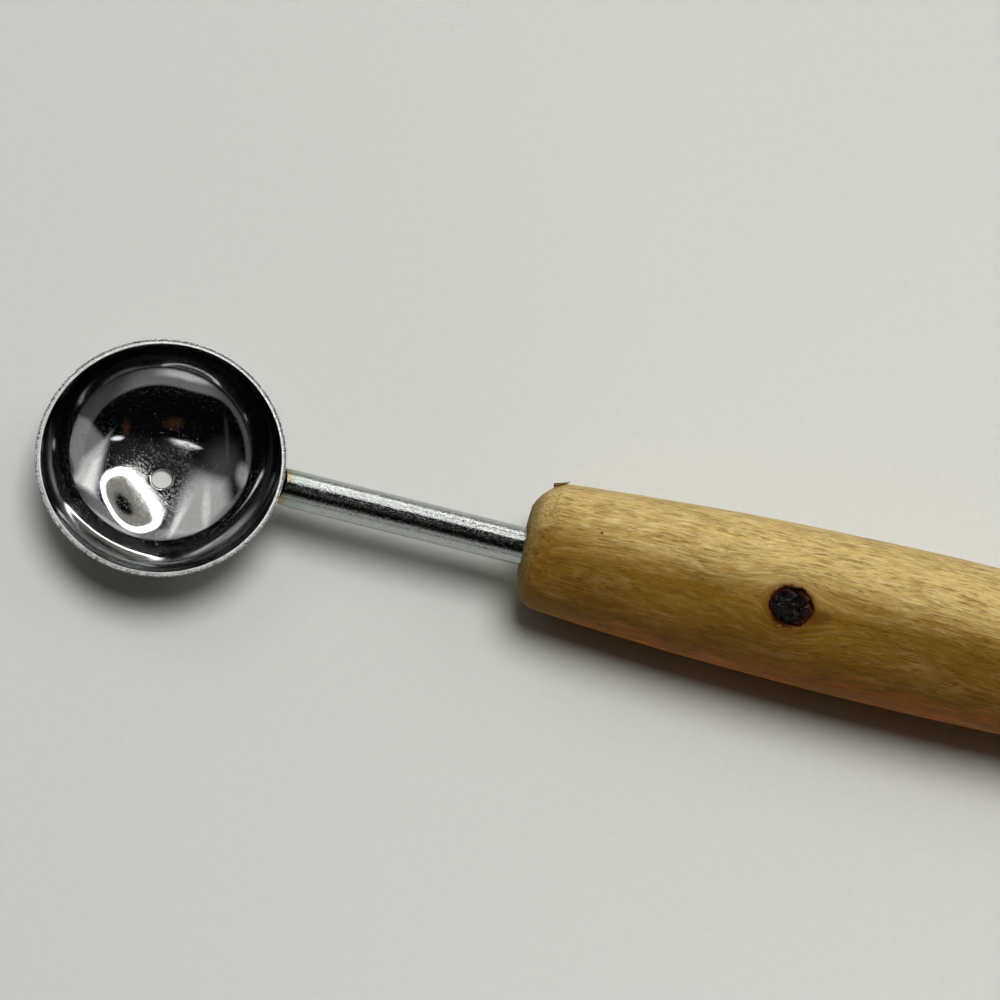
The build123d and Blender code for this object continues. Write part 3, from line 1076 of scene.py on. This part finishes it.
# What the polished metal mirrors: soft shapes on a dark room, placed in degrees from straight
# up, x towards the handle and y towards the far side. Each oval has its middle, half sizes,
# turn, soft edge and strength.
WHITE = (1.0, 1.0, 0.98)
BROWN = (1.0, 0.36, 0.16)
OVALS = (
    ((-26.5, 40), (2.6, 26), -5, 0.5, 0.65, WHITE),
    ((-45, 38), (3.2, 19), 12, 0.6, 0.35, WHITE),
    ((-72, 10), (6, 10), 20, 0.6, 0.35, WHITE),
    ((-52, -22), (1.6, 16), 8, 0.9, 0.03, WHITE),
    ((-50, 4), (13, 17), 0, 0.95, 0.07, WHITE),
    ((12, 71), (34, 2.2), -14, 0.7, 0.42, WHITE),
    ((4, 6), (30, 14), 0, 0.5, 0.02, WHITE),
    ((29.7, -13), (2.4, 6), 20, 0.7, 0.035, BROWN),
    ((-5.4, -27), (6.5, 4.5), 20, 0.7, 0.03, BROWN),
    ((-18, -12.4), (10.0, 1.3), -4, 0.6, 2.0, WHITE),
    ((34, -3.2), (4.6, 1.5), 25, 0.6, 1.6, WHITE),
)
# Windows and pale walls: corners, soft edge in degrees and strength
WINDOWS = (
    (((60, 49), (37, 49), (42, 1.0), (55, 24)), 9.0, 0.75),
    (((50, 47), (40, 47), (42, 16), (47, 22)), 6.0, 0.45),
    (((-20, 66), (-48, 62), (-64, 34), (-55, 14), (-33, 9), (-27.5, 17)), 14.0, 0.55),
    (((42, 2), (66, -8), (78, -6), (78, 22), (58, 42), (44, 6)), 6.0, 0.23),
)
# The ring-shaped diffuser: middle, half sizes, turn and soft edge of each of its ovals
RING_OUTSIDE = ((11, 43), (28.6, 18.2), -48, 0.08)
RING_INSIDE = ((11.5, 43), (24.8, 15.6), -48, 0.13)
RING_BITE = ((-6, 18.5), (16.5, 8.5), -38, 0.08)
RING_INNER_BITE = ((-6, 18.5), (21.5, 13.0), -38, 0.12)
RING_SPOT = ((14.4, 46), (10.5, 6.0), -48, 0.3)
RING_POWER = 2.5
RING_STRENGTH = 10.0
RING_CENTRE_STRENGTH = 0.30
RING_CENTRE_TINT = (1.0, 0.94, 0.84)
# The room's levels, and the angles between which each of its parts begins or ends
OVERHEAD = 0.002
WALL_LEVEL = 0.21
LINE_LEVEL = 0.70
HORIZON_LEVEL = 0.20
ROOM_DIPS_AT = (-8, -56)
ROOM_DIP = 13.0
WALL_TOP = (59, 62.5)
WALL_FOOT = (81, 77.5)
WALL_LEFT = (-58, -24)
WALL_RIGHT = (31, 56)
LINE_TOP = (68, 74.5)
LINE_LEFT = (-52, -30)
LINE_RIGHT = (30, 2)
HORIZON = (84, 90)

# What lights the wood and the table: soft lamps, and a fill that is brighter on the far side.
# Each lamp has its azimuth, its angle from straight up, its angular width and its level.
LAMPS = (
    ("key_lamp", 80, 15, 30, 0.68),
    ("window_lamp", 128, 42, 24, 0.06),
    ("side_lamp", 38, 48, 24, 0.05),
)
FILL_NEAR = 0.0
FILL_FAR = 0.27
BACKDROP = colour(206, 208, 202)


class SkyNodes(Nodes):
    """Soft shapes on the flat map of the sky."""

    def __init__(self, tree):
        super().__init__(tree)
        direction = self.add("ShaderNodeTexCoord", out=0)
        x, y, z = self.split(direction)
        level = self.math("SQRT", self.plus(self.times(x, x), self.times(y, y)))
        self.far = y
        self.polar = self.times(self.math("ARCTAN2", level, z), degrees(1))
        reach = self.math("DIVIDE", self.polar, self.math("MAXIMUM", level, 0.0001))
        self.map = self.add("ShaderNodeCombineXYZ", self.times(x, reach), self.times(y, reach))

    def oval(self, middle, half_sizes, turn, soft, power=2.0):
        """1 inside an oval, whose sides are straighter with a higher power."""
        spot = self.mapping(
            self.map, (*middle, 0), (0, 0, radians(turn)), (*half_sizes, 1), kind="TEXTURE"
        )
        if power == 2.0:
            reach = self.length(spot)
        else:
            x, y = self.split(self.add("ShaderNodeVectorMath", spot, operation="ABSOLUTE"))[:2]
            total = self.plus(self.math("POWER", x, power), self.math("POWER", y, power))
            reach = self.math("POWER", total, 1 / power)
        return self.step(reach, 1 + soft, 1 - soft)

    def window(self, corners, soft):
        """1 inside a convex shape whose corners run anticlockwise."""
        outside = None
        for (x0, y0), (x1, y1) in zip(corners, (*corners[1:], corners[0])):
            side = Vector((y1 - y0, x0 - x1, 0)).normalized()
            past = self.add(
                "ShaderNodeVectorMath", self.map, tuple(side), operation="DOT_PRODUCT", out=1
            )
            past = self.math("SUBTRACT", past, side.x * x0 + side.y * y0)
            outside = past if outside is None else self.math("MAXIMUM", outside, past)
        return self.step(outside, soft / 2, -soft / 2)

    def glow(self, shape, strength, tint):
        level = self.times(shape, strength)
        return self.add("ShaderNodeVectorMath", tint, operation="SCALE", Scale=level)

    def over(self, *parts):
        """The sum of several glows."""
        total = parts[0]
        for part in parts[1:]:
            total = self.add("ShaderNodeVectorMath", total, part, operation="ADD")
        return total


def mirrored_room(tree):
    """A room, dark overhead and grey lower down, with a bright line low on the near side."""
    across = tree.split(tree.map)[0]
    depth = tree.math("SUBTRACT", tree.polar, tree.step(across, *ROOM_DIPS_AT, 0.0, ROOM_DIP))
    wall = tree.step(depth, *WALL_TOP, OVERHEAD, WALL_LEVEL)
    wall = tree.times(wall, tree.step(tree.polar, *WALL_FOOT, 0.12, 1.0))
    wall = tree.times(wall, tree.step(across, *WALL_LEFT, 0.5, 1.0))
    wall = tree.times(wall, tree.step(across, *WALL_RIGHT, 1.0, 0.35))
    line = tree.times(tree.step(depth, *LINE_TOP), tree.step(tree.polar, *WALL_FOOT))
    reach = tree.times(tree.step(across, *LINE_LEFT), tree.step(across, *LINE_RIGHT))
    line = tree.times(line, reach)
    line = tree.times(line, tree.step(tree.far, 0.25, -0.45))
    room = [
        tree.glow(wall, 1.0, WHITE),
        tree.glow(line, LINE_LEVEL, WHITE),
        tree.glow(tree.step(tree.polar, *HORIZON, 0.0, HORIZON_LEVEL), 1.0, WHITE),
    ]
    for middle, half_sizes, turn, soft, strength, tint in OVALS:
        room.append(tree.glow(tree.oval(middle, half_sizes, turn, soft), strength, tint))
    for corners, soft, strength in WINDOWS:
        room.append(tree.glow(tree.window(corners, soft), strength, WHITE))
    return tree.over(*room)


def with_diffuser(tree, room):
    """The room behind a bright band, hollow on one side, with a dark spot in its grey centre."""
    outside = tree.oval(*RING_OUTSIDE, RING_POWER)
    outside = tree.math("SUBTRACT", outside, tree.oval(*RING_BITE), clamp=True)
    inside = tree.oval(*RING_INSIDE, RING_POWER)
    inside = tree.math("SUBTRACT", inside, tree.oval(*RING_INNER_BITE), clamp=True)
    band = tree.math("SUBTRACT", outside, inside, clamp=True)
    centre = tree.times(inside, tree.math("SUBTRACT", 1.0, tree.oval(*RING_SPOT)))
    diffuser = tree.over(
        tree.glow(band, RING_STRENGTH, WHITE),
        tree.glow(centre, RING_CENTRE_STRENGTH, RING_CENTRE_TINT),
    )
    return tree.mix(outside, room, diffuser)


def make_sky():
    """What polished metal mirrors, a soft fill on the rest, and the camera's pale backdrop."""
    world = bpy.data.worlds.new("soft_sky")
    bpy.context.scene.world = world
    world.use_nodes = True
    world.node_tree.nodes.clear()
    world.cycles.sampling_method = "NONE"
    tree = SkyNodes(world.node_tree)
    mirrored = with_diffuser(tree, mirrored_room(tree))
    fill = tree.glow(tree.step(tree.far, -0.7, 0.9, FILL_NEAR, FILL_FAR), 1.0, WHITE)
    path = tree.tree.nodes.new("ShaderNodeLightPath")
    light = tree.mix(path.outputs["Is Glossy Ray"], fill, mirrored)
    chosen = tree.mix(path.outputs["Is Camera Ray"], light, BACKDROP)
    output = tree.tree.nodes.new("ShaderNodeOutputWorld")
    tree.put(output.inputs[0], tree.add("ShaderNodeBackground", chosen, 1.0))


def make_lamps():
    for name, azimuth, polar, width, level in LAMPS:
        lamp_data = bpy.data.lights.new(name, "SUN")
        lamp_data.angle = radians(width)
        lamp_data.energy = level * pi
        lamp = bpy.data.objects.new(name, lamp_data)
        around = radians(azimuth)
        down = radians(polar)
        toward = Vector((cos(around) * sin(down), sin(around) * sin(down), cos(down)))
        lamp.rotation_euler = toward.to_track_quat("Z", "Y").to_euler()
        lamp.visible_glossy = False
        bpy.context.scene.collection.objects.link(lamp)


# Camera, from the photograph's perspective

CAMERA_AZIMUTH = -11.8004
CAMERA_ELEVATION = 71.5601
CAMERA_ROLL = 24.972
CAMERA_TARGET = (-23.8743, 6.2261, 5.0)
CAMERA_DISTANCE = 350.0
CAMERA_LENS = 102.83
SENSOR_WIDTH = 36.0
CLIP_METRES = (0.01, 20.0)


def make_camera():
    azimuth = radians(CAMERA_AZIMUTH)
    elevation = radians(CAMERA_ELEVATION)
    roll = radians(CAMERA_ROLL)
    back = Vector(
        (sin(azimuth) * cos(elevation), -cos(azimuth) * cos(elevation), sin(elevation))
    )
    right = Vector((0, 0, 1)).cross(back).normalized()
    up = back.cross(right)
    turned_right = right * cos(roll) + up * sin(roll)
    turned_up = up * cos(roll) - right * sin(roll)
    data = bpy.data.cameras.new("camera")
    data.sensor_width = SENSOR_WIDTH
    data.lens = CAMERA_LENS
    data.clip_start, data.clip_end = CLIP_METRES
    camera = bpy.data.objects.new("camera", data)
    bpy.context.scene.collection.objects.link(camera)
    place = Vector(CAMERA_TARGET) * MM + back * CAMERA_DISTANCE * MM
    turned = Matrix((turned_right, turned_up, back)).transposed().to_4x4()
    camera.matrix_world = Matrix.Translation(place) @ turned
    bpy.context.scene.camera = camera


make_camera()
make_floor()
make_sky()
make_lamps()

cup = make_cup()
outward(cup)
dress(cup, cup_material())
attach(cup, "root")
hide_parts("scoop_bowl")

bead = make_weld()
dress(bead, weld_material())
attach(bead, "root")
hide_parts("weld")

handle_body = make_handle()
outward(handle_body)
dress(handle_body, wood_material())
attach(handle_body, "root")
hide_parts("handle")

knot = make_knot()
outward(knot)
dress(knot, knot_material())
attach(knot, "root")
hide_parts("wood_knot")

splinter = make_splinter()
outward(splinter)
dress(splinter, splinter_material())
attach(splinter, "root")

dress(nodes["shank"], shank_material())
dress(nodes["adhesive"], glue_material())

view = bpy.context.scene.view_settings
view.view_transform = "Standard"
